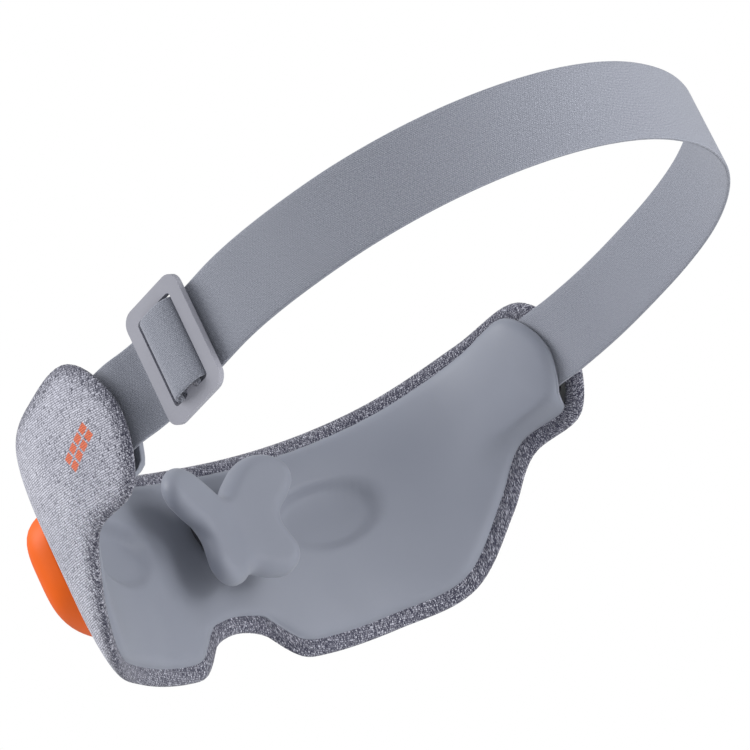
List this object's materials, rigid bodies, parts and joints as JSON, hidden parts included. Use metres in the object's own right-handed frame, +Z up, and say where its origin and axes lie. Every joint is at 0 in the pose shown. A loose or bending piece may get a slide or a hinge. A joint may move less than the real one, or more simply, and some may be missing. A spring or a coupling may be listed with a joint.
{
  "type": "eye massager mask",
  "caption": "Curved eye mask with a grey twill shell, a smooth liner, a four-lobed kneading head, a front drive pod and a buckled head strap.",
  "frame": {"origin": "on the mask's edge line at the middle of the nose bridge, where the mask bears on the face", "axes": "+X to the wearer's left, -Y out of the front of the mask, +Y through the head to the back of the strap, +Z up"},
  "size_m": [0.1996, 0.2401, 0.0802],
  "materials": {
    "twill_fabric": "heather grey twill",
    "silicone": "matt silicone",
    "foam": "open foam",
    "frame_sheet": "matt",
    "heater_film": "film",
    "dark_plastic": "moulded",
    "nylon": "moulded",
    "brass": "turned",
    "steel": "plain",
    "orange_plastic": "satin",
    "clear_plastic": "frosted",
    "board": "solder mask",
    "battery_wrap": "film",
    "webbing": "woven elastic",
    "buckle_plastic": "satin"
  },
  "bodies": {
    "mask": {"fabric_cover": "twill_fabric", "flex_frame": "frame_sheet", "foam_core": "foam", "silicone_liner": "silicone", "heater_left": "heater_film", "heater_right": "heater_film", "shaft_bush": "brass", "gear_motor": "steel", "drive_chassis": "dark_plastic", "pod_base": "dark_plastic", "pod_cover": "orange_plastic", "circuit_board": "board", "button_switch": "dark_plastic", "battery": "battery_wrap", "charging_port": "steel", "light_ring": "clear_plastic", "pod_screw_1": "steel", "pod_screw_2": "steel", "pod_screw_3": "steel", "pod_screw_4": "steel", "strap_band": "webbing", "strap_anchor_left": "dark_plastic", "strap_anchor_right": "dark_plastic"},
    "kneading_head": {"head_pad": "silicone", "head_carrier": "dark_plastic", "head_shaft": "steel", "drive_gear": "nylon"},
    "pinion": {"pinion": "brass"},
    "button": {"power_button": "orange_plastic"},
    "buckle": {"strap_buckle": "buckle_plastic", "strap_end_loop": "webbing", "strap_fold": "webbing"}
  },
  "joints": [
    {"name": "head_knead", "type": "hinge", "parent": "mask", "child": "kneading_head", "pos_m": [0, 0, 0], "axis": [0, 1, 0], "range_deg": [-12, 12]},
    {"name": "pinion_spin", "type": "hinge", "parent": "mask", "child": "pinion", "pos_m": [0.01445, 0, 0], "axis": [0, 1, 0], "range_deg": [-36.5, 36.5]},
    {"name": "button_press", "type": "slide", "parent": "mask", "child": "button", "axis": [0, 1, 0], "range_m": [0, 0.0007], "stiffness_N_per_m": 600, "springref_m": -0.0004},
    {"name": "buckle_slide", "type": "slide", "parent": "mask", "child": "buckle", "axis": [-0.0687, 0.9889, 0.1319], "range_m": [-0.003, 0.01]}
  ],
  "couplings": [
    {"joint": "pinion_spin", "follows": "head_knead", "ratio": -3}
  ]
}
